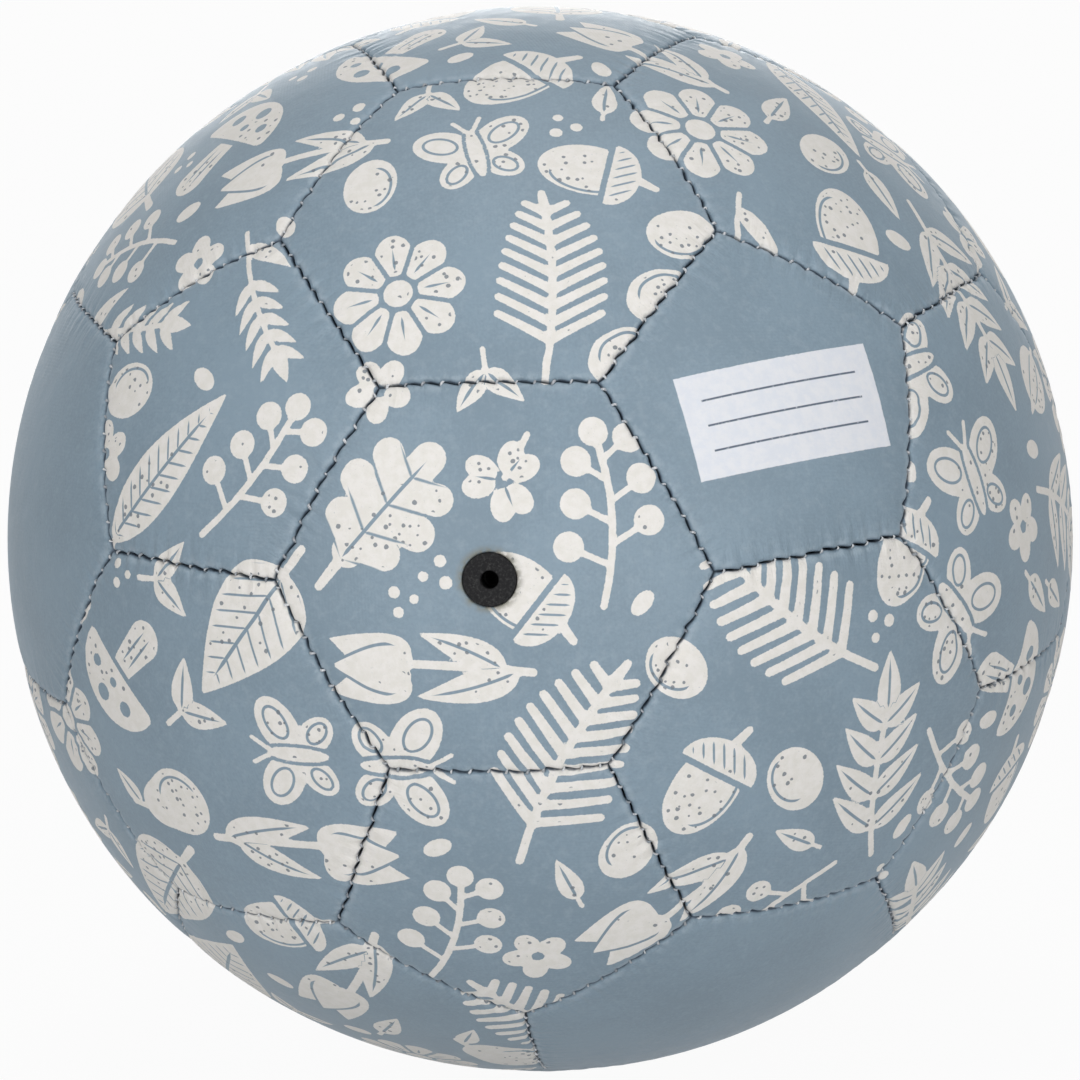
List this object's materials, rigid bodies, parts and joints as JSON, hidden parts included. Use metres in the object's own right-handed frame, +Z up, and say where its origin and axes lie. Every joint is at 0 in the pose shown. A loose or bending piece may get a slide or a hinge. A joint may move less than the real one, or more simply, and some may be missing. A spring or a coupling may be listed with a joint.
{
  "type": "toy football",
  "caption": "Inflatable toy football of pentagon and hexagon panels sewn together over a rubber bladder, with a needle valve in one panel.",
  "frame": {"origin": "middle of the flat at the ball's lowest point, where it stands on the floor", "axes": "+Z up through the middle of the crown pentagon; -Y towards the front, where the valve panel is; +X to the right seen from the front"},
  "size_m": [0.1396, 0.1398, 0.1394],
  "materials": {
    "panel_sheet": "smooth synthetic leather with a fine grain and a soft satin sheen, dusty blue with a pale print on most panels",
    "seam_thread": "matte polyester thread",
    "bladder_rubber": "matte",
    "valve_rubber": "matte black",
    "core_rubber": "matte black",
    "patch_cloth": "woven backing cloth"
  },
  "bodies": {
    "root": {"crown_pentagon": "panel_sheet", "high_hexagon_1": "panel_sheet", "high_hexagon_2": "panel_sheet", "high_hexagon_3": "panel_sheet", "high_hexagon_4": "panel_sheet", "high_hexagon_5": "panel_sheet", "shoulder_pentagon_1": "panel_sheet", "shoulder_pentagon_2": "panel_sheet", "shoulder_pentagon_3": "panel_sheet", "shoulder_pentagon_4": "panel_sheet", "shoulder_pentagon_5": "panel_sheet", "valve_hexagon": "panel_sheet", "upper_waist_hexagon_2": "panel_sheet", "upper_waist_hexagon_3": "panel_sheet", "upper_waist_hexagon_4": "panel_sheet", "upper_waist_hexagon_5": "panel_sheet", "lower_waist_hexagon_1": "panel_sheet", "lower_waist_hexagon_2": "panel_sheet", "lower_waist_hexagon_3": "panel_sheet", "lower_waist_hexagon_4": "panel_sheet", "lower_waist_hexagon_5": "panel_sheet", "belly_pentagon_1": "panel_sheet", "belly_pentagon_2": "panel_sheet", "belly_pentagon_3": "panel_sheet", "belly_pentagon_4": "panel_sheet", "belly_pentagon_5": "panel_sheet", "low_hexagon_1": "panel_sheet", "low_hexagon_2": "panel_sheet", "low_hexagon_3": "panel_sheet", "low_hexagon_4": "panel_sheet", "low_hexagon_5": "panel_sheet", "rest_pentagon": "panel_sheet", "seam_thread": "seam_thread", "bladder": "bladder_rubber", "valve_body": "valve_rubber", "valve_core": "core_rubber", "valve_patch": "patch_cloth"}
  },
  "joints": []
}
